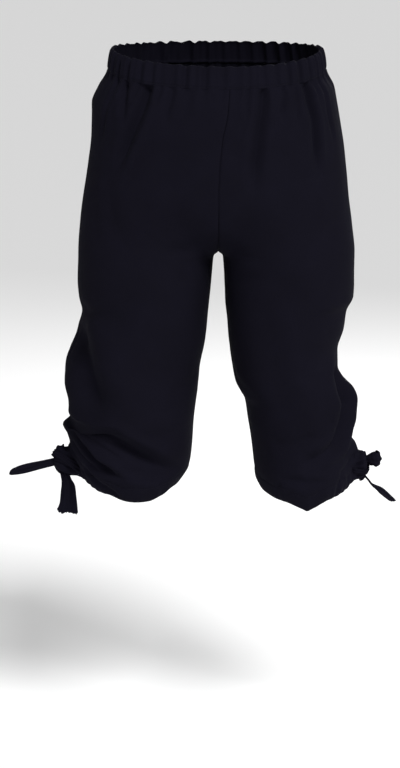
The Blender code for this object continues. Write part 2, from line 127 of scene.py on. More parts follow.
# how far the hem rises or drops on its way round the leg
hemSwing = table("u right left", [
    (0.00, 2, -4),
    (0.10, -4, -13),
    (0.15, -13, -18),
    (0.19, -19, -22),
    (0.24, -20, -30.5),
    (0.256, -19.4, -33.5),
    (0.28, -17.5, -29),
    (0.33, -10, -19.5),
    (0.37, -8, -15),
    (0.43, -2, -10),
    (0.47, 3, -4),
    (0.50, 6, 0),
    (0.60, 2, -1),
    (0.75, -6, -8),
    (0.90, -3, -6),
    (1.00, 2, -4),
])

# what the cloth stands out more at the side seam, towards the knot
hemLobe = table("level right left", [
    (-574, 0, 0),
    (-582, 1, 3),
    (-590, 4, 10),
    (-602, 12, 14),
    (-618, 15, 15),
    (-634, 15, 14),
    (-648, 9, 8),
])

# how far the centre front seam swings to the left, as worn
seamSwing = table("level swing", [
    (-21, 16),
    (-60, 13),
    (-100, 6),
    (-150, 2),
    (-190, 0),
])


def ease(x):
    x = np.clip(x, 0.0, 1.0)
    return x * x * (3.0 - 2.0 * x)


def lookUp(rows, key, column, at):
    # a monotone cubic through the table's rows
    x, y = rows[key], rows[column]
    if x[0] > x[-1]:
        x, y = x[::-1], y[::-1]
    step = np.diff(x)
    slope = np.diff(y) / step
    middle = np.where(slope[1:] * slope[:-1] > 0, 2 * slope[1:] * slope[:-1], 0.0)
    total = slope[1:] + slope[:-1]
    middle = middle / np.where(np.abs(total) < 1e-9, 1.0, total)
    tangent = np.concatenate([[slope[0]], middle, [slope[-1]]])
    at = np.clip(at, x[0], x[-1])
    i = np.clip(np.searchsorted(x, at) - 1, 0, len(step) - 1)
    t = (at - x[i]) / step[i]
    return ((1 + 2 * t) * (1 - t) ** 2 * y[i]
            + t * (1 - t) ** 2 * step[i] * tangent[i]
            + t * t * (3 - 2 * t) * y[i + 1]
            + t * t * (t - 1) * step[i] * tangent[i + 1])


def superEllipse(angle, power):
    c, s = np.abs(np.cos(angle)), np.abs(np.sin(angle))
    return (c ** power + s ** power) ** (-1.0 / power)


def bodySection(side, u, level):
    width = lookUp(outline, "level", side, level)
    front = lookUp(outline, "level", "front", level)
    back = lookUp(outline, "level", "back", level)
    swing = lookUp(seamSwing, "level", "swing", level)
    angle = math.pi * u
    r = superEllipse(angle, garment["bodySquareness"])
    over = -swing if side == "right" else swing
    across = width * r * np.sin(angle) + over * np.clip(1 - 2 * u, 0, 1) ** 2
    depth = np.where(np.cos(angle) > 0, front, back)
    return across, -depth * r * np.cos(angle)


def legSection(side, u, level):
    outer = lookUp(outline, "level", side, level)
    inner = lookUp(legGap, "level", side, level)
    front = lookUp(outline, "level", "front", level)
    back = lookUp(outline, "level", "back", level)
    angle = 2 * math.pi * u
    r = superEllipse(angle, garment["legSquareness"])
    inwards = (1 + r * np.cos(angle)) / 2
    local = 1 + garment["forkRound"] * np.exp((level - garment["crotch"]) / garment["forkRoundFade"])
    across = outer * (1 - inwards) + inner * inwards ** local
    return across, (back - front) / 2 - (back + front) / 2 * r * np.sin(angle)


def forkShare(u, level):
    g = garment
    t = np.clip((g["forkTop"] - level) / (g["forkTop"] - g["crotch"]), 0.0, 1.0)
    atSeam = 1.0 - (1.0 - t ** g["forkCurve"]) ** (1.0 / g["forkCurve"])
    atThigh = ease((g["forkTop"] - level) / (g["forkTop"] - g["thigh"]))
    near = np.exp(-((np.minimum(u, 1 - u) / g["forkSpread"]) ** 2))
    return near * atSeam + (1 - near) * atThigh


def realHeight(side, u, level):
    g = garment
    c = np.cos(math.pi * u)
    dip = g["waistRise"] * np.clip(-c, 0, 1) - g["waistDip"] * np.clip(c, 0, 1) ** g["waistDipPower"]
    atWaist = ease((level - g["hipFade"]) / (g["waistSeam"] - g["hipFade"]))
    atHem = ease((g["hemDraw"] - level) / (g["hemDraw"] - g["hemSeam"]))
    return level + dip * atWaist + lookUp(hemSwing, "u", side, u) * atHem


def form(side, u, level):
    u, level = np.broadcast_arrays(np.asarray(u, float), np.asarray(level, float))
    xBody, yBody = bodySection(side, u, level)
    xLeg, yLeg = legSection(side, u, level)
    w = forkShare(u, level)
    x = (1 - w) * xBody + w * xLeg
    y = (1 - w) * yBody + w * yLeg
    reach = lookUp(hemLobe, "level", side, level) * (level < hemLobe["level"][0])
    x = x + reach * np.exp(-(((u - 0.5) / garment["lobeSpread"]) ** 2))
    sign = -1.0 if side == "right" else 1.0
    return np.stack([sign * x, y, realHeight(side, u, level)], axis=-1)


def wrapped(side, u, level):
    # the form run on past its edges, so that slopes can be taken there
    u, level = np.broadcast_arrays(np.asarray(u, float), np.asarray(level, float))
    points = form(side, np.clip(u, 0, 1), level)
    mirrored = form(side, np.where(u < 0, -u, np.where(u > 1, 2 - u, u)), level)
    ends = form(side, np.where(u < 0, 0.0, 1.0), level)
    mirrored = np.where(np.array([True, False, False]), 2 * ends - mirrored, mirrored)
    roundLeg = form(side, np.mod(u, 1.0), level)
    beyond = np.where((level > garment["crotch"])[..., None], mirrored, roundLeg)
    return np.where((np.maximum(-u, u - 1) > 0)[..., None], beyond, points)


def facing(function, side, u, level):
    du, dl = 0.004, 1.0      # steps either side, in u and in millimetres
    roundIt = function(side, u + du, level) - function(side, u - du, level)
    up = function(side, u, level + dl) - function(side, u, level - dl)
    n = np.cross(roundIt, up)
    if side != "left":
        n = -n
    return n / np.maximum(np.linalg.norm(n, axis=-1, keepdims=True), 1e-12)


# side, depth, half-width, sharpness, lean, and the path as points of u and level; lean makes the bank
# on the path's right-hand side steeper
mainFolds = [
    ("right", 12.0, 10, 1.5, 0.3, [(0.224, 18), (0.218, -20), (0.210, -62), (0.240, -112),
                                   (0.262, -150), (0.275, -172)]),
    ("right", 6.5, 7, 1.4, 0.2, [(0.302, 12), (0.292, -26), (0.262, -59), (0.25, -92)]),
    ("right", 2.0, 15, 2.0, 0.0, [(0.308, -150), (0.276, -212), (0.276, -275)]),
    ("right", 21.0, 29, 1.7, 0.25, [(0.48, -392), (0.45, -422), (0.398, -449), (0.368, -482),
                                    (0.346, -511), (0.322, -546)]),
    ("right", 18.5, 13, 1.5, 0.6, [(0.50, -549), (0.456, -554), (0.39, -558), (0.35, -561),
                                   (0.30, -562), (0.256, -574), (0.21, -588), (0.13, -609),
                                   (0.09, -616)]),
    ("right", 12.0, 7, 1.4, 0.5, [(0.50, -563), (0.432, -574), (0.374, -588), (0.346, -600),
                                  (0.30, -608), (0.26, -613)]),
    ("right", 5.0, 13, 1.7, 0.0, [(0.79, 14), (0.79, -24), (0.78, -70), (0.755, -130)]),
    ("right", 6.0, 18, 1.8, -0.3, [(0.66, -296), (0.78, -312), (0.90, -300)]),
    ("right", 8.0, 18, 1.8, -0.4, [(0.58, -412), (0.68, -446), (0.82, -438)]),
    ("right", 13.0, 12, 1.5, -0.5, [(0.50, -549), (0.56, -553), (0.64, -560), (0.74, -580), (0.86, -600)]),
    ("right", 9.0, 8, 1.4, -0.4, [(0.50, -584), (0.58, -590), (0.65, -600), (0.72, -612)]),
    ("left", 8.0, 9, 1.4, -0.2, [(0.122, 16), (0.114, -15), (0.102, -43), (0.096, -85), (0.084, -170),
                                 (0.08, -205)]),
    ("left", 10.0, 9, 1.4, -0.2, [(0.282, 16), (0.274, -15), (0.258, -47), (0.270, -79), (0.264, -143),
                                  (0.262, -175)]),
    ("left", 5.0, 7, 1.4, 0.0, [(0.19, 12), (0.182, -18), (0.162, -46), (0.155, -76)]),
    ("left", 2.4, 18, 1.8, 0.0, [(0.05, -332), (0.09, -328), (0.182, -322), (0.246, -339), (0.30, -362)]),
    ("left", 2.4, 22, 2.0, 0.0, [(0.18, -360), (0.205, -420), (0.215, -480), (0.195, -560)]),
    ("left", 28.0, 15, 1.5, -0.3, [(0.48, -466), (0.452, -486), (0.426, -509), (0.41, -534),
                                   (0.392, -560), (0.35, -583)]),
    ("left", 9.0, 9, 1.5, 0.5, [(0.40, -556), (0.372, -570), (0.338, -580), (0.298, -586), (0.23, -588)]),
    ("left", 5.0, 13, 1.7, 0.0, [(0.73, 14), (0.73, -24), (0.74, -80), (0.72, -150)]),
    ("left", 6.0, 18, 1.8, -0.3, [(0.68, -306), (0.79, -318), (0.92, -303)]),
    ("left", 8.0, 17, 1.8, -0.4, [(0.56, -460), (0.66, -492), (0.80, -486)]),
    ("left", 10.0, 11, 1.4, -0.5, [(0.54, -560), (0.65, -578), (0.78, -596)]),
    ("left", 7.5, 9, 1.4, -0.4, [(0.525, -588), (0.59, -594), (0.66, -602), (0.73, -613)]),
]

fineFolds = [
    ("right", 5.0, 5, 1.4, 0.3, [(0.46, -562), (0.40, -567), (0.362, -574), (0.326, -580),
                                 (0.288, -587), (0.24, -597)]),
    ("right", 5.0, 5, 1.4, 0.4, [(0.49, -580), (0.44, -586), (0.40, -597), (0.36, -609), (0.33, -618)]),
    ("right", 3.0, 5, 1.4, 0.3, [(0.36, -570), (0.30, -573), (0.25, -582), (0.20, -594)]),
    ("right", 4.0, 7, 1.4, 0.4, [(0.30, -597), (0.266, -601), (0.208, -606), (0.14, -616)]),
    ("right", 3.0, 4, 1.4, 0.2, [(0.47, -594), (0.44, -602), (0.41, -614)]),
    ("right", 2.4, 8, 1.6, 0.2, [(0.46, -540), (0.40, -536), (0.32, -538)]),
    ("right", 3.6, 6, 1.4, 0.2, [(0.146, 12), (0.144, -20), (0.142, -48), (0.14, -80)]),
    ("right", 2.2, 6, 1.5, 0.0, [(0.104, 10), (0.10, -22), (0.095, -45), (0.10, -72)]),
    ("right", 3.0, 6, 1.5, 0.0, [(0.345, 10), (0.33, -26), (0.33, -70), (0.36, -130)]),
    ("right", 2.6, 5, 1.4, 0.0, [(0.256, 10), (0.25, -22), (0.247, -50), (0.25, -74)]),
    ("right", 2.4, 5, 1.4, 0.0, [(0.182, 10), (0.178, -22), (0.175, -50)]),
    ("right", 1.6, 9, 1.7, 0.0, [(0.03, -262), (0.10, -278), (0.19, -282)]),
    ("right", 1.6, 10, 1.7, 0.0, [(0.116, -262), (0.126, -300), (0.15, -340)]),
    ("right", 1.8, 10, 1.7, 0.2, [(0.46, -368), (0.38, -380), (0.30, -372)]),
    ("right", 1.4, 10, 1.7, 0.0, [(0.05, -470), (0.10, -486), (0.16, -492)]),
    ("right", 3.2, 6, 1.4, -0.3, [(0.54, -572), (0.60, -578), (0.69, -594)]),
    ("right", 2.6, 7, 1.4, -0.3, [(0.56, -540), (0.64, -544), (0.72, -556)]),
    ("left", 2.4, 6, 1.4, 0.0, [(0.225, 10), (0.218, -22), (0.206, -56), (0.21, -95)]),
    ("left", 3.0, 6, 1.5, 0.0, [(0.345, 10), (0.345, -22), (0.34, -70), (0.36, -130)]),
    ("left", 2.4, 5, 1.4, 0.0, [(0.148, 10), (0.146, -20), (0.14, -45), (0.135, -66)]),
    ("left", 1.8, 5, 1.5, 0.0, [(0.064, 10), (0.06, -22), (0.055, -44), (0.06, -76)]),
    ("left", 2.0, 5, 1.5, 0.0, [(0.31, 10), (0.308, -22), (0.30, -52)]),
    ("left", 1.8, 8, 1.7, 0.0, [(0.03, -270), (0.10, -290), (0.19, -294)]),
    ("left", 1.8, 9, 1.6, 0.2, [(0.46, -372), (0.38, -380), (0.30, -374)]),
    ("left", 1.6, 9, 1.6, 0.0, [(0.03, -470), (0.09, -492), (0.15, -500)]),
    ("left", 3.4, 6, 1.4, 0.4, [(0.48, -584), (0.42, -594), (0.34, -600), (0.28, -600)]),
    ("left", 3.2, 5, 1.4, 0.3, [(0.49, -600), (0.43, -608), (0.36, -613)]),
    ("left", 4.0, 5, 1.4, 0.4, [(0.335, -613), (0.302, -610), (0.25, -605), (0.198, -609), (0.165, -614)]),
    ("left", 2.2, 7, 1.5, 0.3, [(0.30, -556), (0.22, -570), (0.14, -572)]),
    ("left", 3.2, 6, 1.4, -0.3, [(0.54, -576), (0.60, -584), (0.69, -596)]),
    ("left", 2.4, 7, 1.4, -0.3, [(0.56, -536), (0.64, -544), (0.73, -562)]),
]

# these run on over the hem casings
casingFolds = [
    ("right", 3.6, 5, 1.4, 0.2, [(0.42, -604), (0.38, -622), (0.34, -632), (0.30, -639), (0.27, -650)]),
    ("right", 2.2, 5, 1.4, 0.0, [(0.19, -612), (0.16, -628), (0.15, -650)]),
    ("right", 2.6, 5, 1.4, 0.0, [(0.62, -606), (0.66, -626), (0.68, -650)]),
    ("left", 2.4, 5, 1.4, 0.0, [(0.40, -612), (0.37, -628), (0.36, -650)]),
    ("left", 2.0, 5, 1.4, 0.0, [(0.17, -612), (0.16, -630), (0.15, -650)]),
    ("left", 2.4, 5, 1.4, 0.0, [(0.60, -606), (0.63, -628), (0.65, -650)]),
]

foldShape = {
    "fadeIn": 0.22,        # shares of its length over which a fold begins and ends
    "fadeOut": 0.3,
    "narrowed": 0.5,       # how far a full lean narrows the steeper side
    "bankPlace": 1.85,     # in half-widths from the path
    "bankWidth": 0.9,
    "bankHeight": 0.24,    # a share of the depth
    "bankLean": 0.14,      # what a full lean adds to it
    "blend": 2.0,          # this near the path, one bank's lean passes into the other's
    "cuts": 4,             # pieces of line between two points of a path
}


def foldDepth(side, u, level, folds):
    # each fold is a pinched valley between two round banks
    f = foldShape
    total = np.zeros(np.broadcast(u, level).shape)
    turn = garment["turn"]
    here = np.stack(np.broadcast_arrays(u * turn, level), axis=-1)
    for leg, depth, width, power, lean, path in folds:
        if leg != side:
            continue
        line = smoothPath(np.array(path, float) * (turn, 1.0), f["cuts"])
        lengths = np.linalg.norm(np.diff(line, axis=0), axis=1)
        starts = np.concatenate([[0], np.cumsum(lengths)])
        nearest = np.full(total.shape, np.inf)
        share = np.zeros(total.shape)
        steep = np.zeros(total.shape)
        for a, b, start, length in zip(line[:-1], line[1:], starts, lengths):
            way = (b - a) / length
            t = np.clip(((here - a) @ way) / length, 0, 1)
            apart = here - a - t[..., None] * (b - a)
            off = np.linalg.norm(apart, axis=-1)
            closer = off < nearest
            nearest = np.where(closer, off, nearest)
            share = np.where(closer, (start + t * length) / starts[-1], share)
            rightHand = way[1] * apart[..., 0] - way[0] * apart[..., 1]
            steep = np.where(closer, lean * rightHand / np.maximum(off, f["blend"]), steep)
        taper = ease(share / f["fadeIn"]) * ease((1 - share) / f["fadeOut"])
        wide = width * (1 - f["narrowed"] * steep)
        trough = np.exp(-((nearest / wide) ** power))
        banks = np.exp(-(((nearest - wide * f["bankPlace"]) / (wide * f["bankWidth"])) ** 2))
        total = total + depth * taper * (trough - (f["bankHeight"] + f["bankLean"] * steep) * banks)
    return total


def smoothPath(points, cuts):
    # a Catmull-Rom line through the points
    p = np.concatenate([[2 * points[0] - points[1]], points, [2 * points[-1] - points[-2]]])
    out = []
    for i in range(1, len(p) - 2):
        for k in range(cuts):
            t = k / cuts
            out.append(0.5 * (2 * p[i] + (p[i + 1] - p[i - 1]) * t
                              + (2 * p[i - 1] - 5 * p[i] + 4 * p[i + 1] - p[i + 2]) * t ** 2
                              + (3 * p[i] - p[i - 1] - 3 * p[i + 1] + p[i + 2]) * t ** 3))
    out.append(points[-1])
    return np.array(out)


gathers = {
    "count": 44,         # all round the waist
    "depth": 2.0,
    "scallop": 1.2,
    "fade": 11.0,        # how fast they die away below the casing
    "hemPitch": 0.03,
    "hemDepth": 1.0,
    "hemSpread": 0.08,
    "valley": 0.30,      # rounds the tops and narrows the valleys
    "fine": 73,          # a finer wave that comes and goes
    "flatter": 0.45,     # how much they lose at the centre front
    "flatWidth": 0.05,
    # slow waves that make them uneven: middle value, waves round the waist, size and start
    "drift": [(0.0, 5, 0.34, 1.0), (0.0, 11, 0.27, 0.0)],
    "tall": (0.78, 7, 0.34, 0.7),
    "patchy": (0.36, 3, 0.24, 0.4),
    "fineDrift": (0.0, 6, 2.2, 0.0),
    "long": (1.15, 0.75),      # middle value and size of two waves crossed
    "longWaves": [(0.0, 9, 1.0, 2.0), (0.0, 4, 1.0, 0.5)],
}


def slowWave(s, row):
    level, count, size, start = row
    return level + size * np.sin(2 * math.pi * count * s + start)


def gatherWave(s):
    # uneven in width and depth, flatter at the centre front
    g = gathers
    phase = 2 * math.pi * g["count"] * s + sum(slowWave(s, row) for row in g["drift"])
    folds = (np.cos(phase) - g["valley"] * np.cos(2 * phase)) * slowWave(s, g["tall"])
    finePhase = 2 * math.pi * g["fine"] * s + slowWave(s, g["fineDrift"])
    folds = folds + slowWave(s, g["patchy"]) * np.cos(finePhase)
    middle = np.exp(-((np.minimum(s, 1 - s) / g["flatWidth"]) ** 2))
    return folds * (1 - g["flatter"] * middle)


def hemWave(u, spread):
    # the hem is drawn together by its tie, most of all beside the knot
    near = np.exp(-(((u - 0.5) / (gathers["hemSpread"] * spread)) ** 2))
    return gathers["hemDepth"] * np.cos(2 * math.pi * (u - 0.5) / gathers["hemPitch"]) * near


def waistShare(side, u):
    # where a place on one side lies on the whole waist, from the centre front over the right
    return u / 2 if side == "right" else 1 - u / 2


crumples = {
    "depth": 0.8,
    "unit": 100.0,       # millimetres of cloth
    "leftStart": 2.3,    # sets the left leg's off from the right's
    # size, then two crossed waves as: round, up, start, and whether the leg shifts it
    "waves": [
        (1.0, (2.1, 1.3, 0.0, 1), (-0.9, 1.7, 1.1, 1)),
        (0.5, (4.3, -2.2, 0.7, 1), (1.9, 3.1, 0.0, 1)),
        (0.3, (7.9, 5.1, 2.0, 1), (-4.4, 6.3, 0.0, 0)),
    ],
}


def crumple(side, u, level):
    # slow unevenness that worn cotton always has
    c = crumples
    a, b = u * garment["turn"] / c["unit"], level / c["unit"]
    shift = c["leftStart"] if side == "left" else 0.0
    total = 0.0
    for size, *crossed in c["waves"]:
        first, second = (np.sin(x * a + y * b + start + shift * moved) for x, y, start, moved in crossed)
        total = total + size * first * second
    return c["depth"] * total


panelEdge = {
    "tuck": 0.9,          # the panels step in by this where they run inside the casings
    "tuckOver": 2.0,
    "waistClear": 3.0,    # folds begin this far above the seam
    "hemShare": 0.5,      # of the hem's ribs that runs on into the panel
    "hemSpread": 1.2,
    "hemFade": 6.0,
    "roll": 1.1,          # the panels roll in where they are sewn
    "rollWidth": 2.6,
}


def panelPress(side, u, level):
    g, e = garment, panelEdge
    inside = np.clip(u, 0, 1)
    atHem = ease((level - g["hemSeam"]) / g["hemFade"])
    atWaist = ease((g["waistSeam"] - level + e["waistClear"]) / g["waistFade"])
    folds = foldDepth(side, inside, level, mainFolds) + foldDepth(side, inside, level, fineFolds)
    press = (folds + crumple(side, inside, level)) * atHem * atWaist
    press = press + foldDepth(side, inside, level, casingFolds)
    s = waistShare(side, inside)
    below = np.clip(g["waistSeam"] - level, 0, None)
    average, change = gathers["long"]
    crossed = math.prod(slowWave(s, row) for row in gathers["longWaves"])
    length = gathers["fade"] * (average + change * crossed)
    press = press - gathers["depth"] * gatherWave(s) * np.exp(-below / length)
    over = np.clip(level - g["hemSeam"], 0, None)
    press = press - e["hemShare"] * hemWave(inside, e["hemSpread"]) * np.exp(-over / e["hemFade"])
    tucked = np.clip(level - g["waistSeam"], 0, None) + np.clip(g["hemSeam"] - level, 0, None)
    press = press + e["tuck"] * ease(tucked / e["tuckOver"])
    seam = np.minimum(np.abs(u - 0.5), np.minimum(np.abs(u), np.abs(1 - u))) * g["turn"]
    return press + e["roll"] * np.exp(-((seam / e["rollWidth"]) ** 2))


def panelCloth(side, u, level):
    out = facing(wrapped, side, u, level)
    return wrapped(side, u, level) - out * panelPress(side, u, level)[..., None]


def linearColour(hexText):
    channels = [int(hexText[i:i + 2], 16) / 255 for i in (1, 3, 5)]
    return [c / 12.92 if c <= 0.04045 else ((c + 0.055) / 1.055) ** 2.4 for c in channels] + [1.0]


def addNode(material, kind, settings=None, inputs=None, links=None):
    node = material.node_tree.nodes.new(kind)
    for name, value in (settings or {}).items():
        setattr(node, name, value)
    for name, value in (inputs or {}).items():
        node.inputs[name].default_value = value
    for name, source in (links or {}).items():
        material.node_tree.links.new(source, node.inputs[name])
    return node


def newMaterial(name, looks):
    material = bpy.data.materials.new(name)
    material.use_nodes = True
    shader = material.node_tree.nodes["Principled BSDF"]
    for key, value in looks.items():
        shader.inputs[key].default_value = value
    return material, shader


cotton = {
    "colour": "#100F17",       # piece-dyed black cotton, a little blue
    "worn": "#15141F",         # where the dye has rubbed
    "looks": {
        "Roughness": 0.95,
        "IOR": 1.5,
        "Specular IOR Level": 0.03,     # fibre ends break up the gloss
        "Sheen Weight": 0.008,
        "Sheen Roughness": 0.4,
        "Sheen Tint": linearColour("#B9BBD6"),
    },
    "threadPitch": 0.0011,     # real threads are 0.4 mm apart, too fine to show, so drawn at 1.1 mm
    "threadBump": 0.00016,     # metres, like the pitch
    "bumpStrength": 0.5,
    "fuzzPerMetre": 900.0,     # fibre fuzz, drawn as coarse as the threads are
    "fuzzShare": 0.6,          # how much it roughens the weave
    "patchesPerMetre": 14.0,   # the dye rubs off in patches about 70 mm across
    "patchEdges": (0.35, 0.75),
    "lintEdges": (0.45, 1.1),
    "lintShare": 0.35,         # the tops of the threads are paler
}


def blackWovenCotton(name, wornShare):
    # plain-woven cotton: matt, with a soft sheen at grazing angles from its fibre ends
    c = cotton
    m, shader = newMaterial(name, c["looks"])
    place = addNode(m, "ShaderNodeUVMap", {"uv_map": "weave"})
    apart = addNode(m, "ShaderNodeSeparateXYZ", links={0: place.outputs[0]})
    threads = []
    for axis in (0, 1):
        turns = addNode(m, "ShaderNodeMath", {"operation": "MULTIPLY"},
                        {1: 2 * math.pi / (2 * c["threadPitch"])}, {0: apart.outputs[axis]})
        threads.append(addNode(m, "ShaderNodeMath", {"operation": "SINE"}, None, {0: turns.outputs[0]}))
    weave = addNode(m, "ShaderNodeMath", {"operation": "MULTIPLY"}, None,
                    {0: threads[0].outputs[0], 1: threads[1].outputs[0]})
    fuzz = addNode(m, "ShaderNodeTexNoise", None, {"Scale": c["fuzzPerMetre"], "Detail": 3.0},
                   {"Vector": place.outputs[0]})
    slub = addNode(m, "ShaderNodeMath", {"operation": "MULTIPLY_ADD"}, {1: c["fuzzShare"]},
                   {0: fuzz.outputs[0], 2: weave.outputs[0]})
    bump = addNode(m, "ShaderNodeBump", None, {"Strength": c["bumpStrength"], "Distance": c["threadBump"]},
                   {"Height": slub.outputs[0]})
    m.node_tree.links.new(bump.outputs[0], shader.inputs["Normal"])
    patches = addNode(m, "ShaderNodeTexNoise", None,
                      {"Scale": c["patchesPerMetre"], "Detail": 5.0, "Roughness": 0.6},
                      {"Vector": place.outputs[0]})
    low, high = c["patchEdges"]
    spread = addNode(m, "ShaderNodeMapRange", None,
                     {"From Min": low, "From Max": high, "To Min": 0.0, "To Max": wornShare},
                     {"Value": patches.outputs[0]})
    low, high = c["lintEdges"]
    lint = addNode(m, "ShaderNodeMapRange", None,
                   {"From Min": low, "From Max": high, "To Min": 0.0, "To Max": c["lintShare"]},
                   {"Value": slub.outputs[0]})
    both = addNode(m, "ShaderNodeMath", {"operation": "ADD", "use_clamp": True}, None,
                   {0: spread.outputs[0], 1: lint.outputs[0]})
    mix = addNode(m, "ShaderNodeMix", {"data_type": "RGBA"}, None, {0: both.outputs[0]})
    mix.inputs[6].default_value = linearColour(c["colour"])
    mix.inputs[7].default_value = linearColour(c["worn"])
    m.node_tree.links.new(mix.outputs[2], shader.inputs["Base Color"])
    return m


panelMaterial = blackWovenCotton("blackWovenCotton", 0.35)
casingMaterial = blackWovenCotton("blackWovenCottonCasing", 0.45)
tieMaterial = blackWovenCotton("blackWovenCottonTie", 0.55)

thread = {
    "looks": {
        "Base Color": linearColour("#13121B"),
        "Roughness": 0.8,
        "IOR": 1.5,
        "Specular IOR Level": 0.15,
    },
    "pitch": 3.4,        # from stitch to stitch, in millimetres
    "long": 2.5,
    "thick": 0.42,
}


def spunSewingThread(name):
    # mercerised cotton thread: it catches a little more light than the cloth, so the stitches can be seen
    return newMaterial(name, thread["looks"])[0]


threadMaterial = spunSewingThread("blackSpunSewingThread")
print("materials made")


def finishMesh(name, points, faces, uvOf, material):
    mesh = bpy.data.meshes.new(name)
    mesh.from_pydata((np.asarray(points) * mm).tolist(), [], faces)
    layer = mesh.uv_layers.new(name="weave")
    loops = np.empty(len(mesh.loops), dtype=np.int32)
    mesh.loops.foreach_get("vertex_index", loops)
    layer.data.foreach_set("uv", (np.asarray(uvOf)[loops] * mm).ravel())
    mesh.shade_smooth()
    mesh.materials.append(material)
    piece = bpy.data.objects.new(name, mesh)
    bpy.context.scene.collection.objects.link(piece)
    return piece


def joined(first, *others):
    with bpy.context.temp_override(active_object=first, selected_editable_objects=[first, *others]):
        bpy.ops.object.join()
    return first


def wallMesh(name, outer, inner, uv, closed, material):
    rows, columns = outer.shape[:2]
    points = np.concatenate([outer.reshape(-1, 3), inner.reshape(-1, 3)])
    uvOf = np.concatenate([uv.reshape(-1, 2), uv.reshape(-1, 2)])
    back = rows * columns
    around = columns if closed else columns - 1
    row, column = np.meshgrid(np.arange(rows - 1), np.arange(around), indexing="ij")
    a = (row * columns + column).ravel()
    b = ((row + 1) * columns + column).ravel()
    c = ((row + 1) * columns + (column + 1) % columns).ravel()
    d = (row * columns + (column + 1) % columns).ravel()
    quads = [np.stack([a, b, c, d], 1), np.stack([d, c, b, a], 1) + back]
    across = np.arange(around)
    for edge, flip in ((0, False), (rows - 1, True)):
        p, q = edge * columns + across, edge * columns + (across + 1) % columns
        rim = np.stack([p, q, q + back, p + back], 1)
        quads.append(rim[:, ::-1] if flip else rim)
    if not closed:
        down = np.arange(rows - 1)
        for edge, flip in ((0, True), (columns - 1, False)):
            p, q = down * columns + edge, (down + 1) * columns + edge
            rim = np.stack([p, q, q + back, p + back], 1)
            quads.append(rim[:, ::-1] if flip else rim)
    faces = np.concatenate(quads)
    # turn the faces out, if the grid runs the other way
    e1 = outer[0, 1] - outer[0, 0]
    e2 = outer[1, 0] - outer[0, 0]
    if np.dot(np.cross(e2, e1), outer[0, 0] - inner[0, 0]) < 0:
        faces = faces[:, ::-1]
    return finishMesh(name, points, faces.tolist(), uvOf, material)


panelShape = {
    # from level, to level, rows
    "spans": [(-17, -21, 3), (-21, -50, 22), (-50, -200, 28), (-200, -280, 18), (-280, -293, 12),
              (-293, -302, 8), (-302, -430, 30), (-430, -540, 34), (-540, -622, 54), (-622, -626, 3)],
    "columns": 124,
    "joinWidth": 8.0,     # the centre seam is drawn shut over this much cloth
    "slack": 0.5,         # takes in the row that lies on a level itself
}


def panelLevels():
    levels = [np.linspace(a, b, n, endpoint=False) for a, b, n in panelShape["spans"]]
    return np.concatenate(levels + [[panelShape["spans"][-1][1]]])


def makePanel(name, side, fromU, toU):
    shape = panelShape
    u, level = np.meshgrid(np.linspace(fromU, toU, shape["columns"] + 1), panelLevels())
    outer = panelCloth(side, u, level)
    inner = outer - facing(wrapped, side, u, level) * garment["wall"]
    sign = -1.0 if side == "right" else 1.0
    fromSeam = np.minimum(u, 1 - u) * garment["turn"]
    for grid in (outer, inner):
        off = np.maximum(sign * grid[..., 0], 0.0)      # the legs meet at the crotch and don't cross
        gap = np.where(level > garment["crotch"] - shape["slack"], off[:, :1], 0)
        off = off - gap * np.exp(-((fromSeam / shape["joinWidth"]) ** 2))
        below = level < garment["forkTop"] + shape["slack"]
        grid[..., 0] = np.where(below, sign * off, grid[..., 0])
    uv = np.stack([u * garment["turn"], level], axis=-1)
    return wallMesh(name, outer, inner, uv, False, panelMaterial)


def waistRing(_, s, level):
    # the whole waist as one ring, which has no side for facing to name
    s = np.mod(s, 1.0)
    right = wrapped("right", np.clip(2 * s, 0, 1), level)
    left = wrapped("left", np.clip(2 - 2 * s, 0, 1), level)
    return np.where((s <= 0.5)[..., None], right, left)


waistBand = {
    "columns": gathers["count"] * 14,
    "rows": 22,
    "cloth": 1000.0,       # millimetres of it in one turn
    "stitched": 0.075,     # height of the row of stitches under the elastic
    "puff": 1.5,           # it puffs over its elastic
    "puffPower": 0.6,
    "wave": 0.8,           # share of the gathers at the edges, and what the middle adds
    "waveMiddle": 0.35,
    "pinch": 1.1,          # the stitching draws it in
    "pinchPlace": 0.07,
    "pinchWidth": 0.045,
    "roll": 2.0,           # it folds over above
    "rollFrom": 0.86,
    "rollThinner": 0.55,
}


def makeWaistCasing():
    g, b = garment, waistBand
    s = np.arange(b["columns"]) / b["columns"]
    share = np.linspace(0, 1, b["rows"])
    level = g["waistSeam"] + (g["waistTop"] - g["waistSeam"]) * share
    sGrid, levelGrid = np.meshgrid(s, level)
    out = facing(waistRing, "right", sGrid, levelGrid)
    folds = gatherWave(sGrid)
    h = share[:, None]
    arch = np.sin(math.pi * np.clip(h, 0, 1))
    puff = b["puff"] * arch ** b["puffPower"]
    strength = b["wave"] + b["waveMiddle"] * arch
    pinch = b["pinch"] * np.exp(-((h - b["pinchPlace"]) / b["pinchWidth"]) ** 2)
    over = np.clip((h - b["rollFrom"]) / (1 - b["rollFrom"]), 0, 1) ** 2
    bulge = gathers["depth"] * folds * strength + puff - pinch - b["roll"] * over
    outer = waistRing(None, sGrid, levelGrid) + out * bulge[..., None]
    outer[..., 2] += gathers["scallop"] * folds * h ** 3
    thickness = g["casingWall"] * (1 - b["rollThinner"] * over)
    inner = outer - out * np.broadcast_to(thickness, folds.shape)[..., None]
    uv = np.stack([sGrid * b["cloth"], levelGrid], axis=-1)
    casing = wallMesh("waistCasing", outer, inner, uv, True, casingMaterial)
    return joined(casing, stitchRow("waistStitches", outer, share, b["stitched"]))


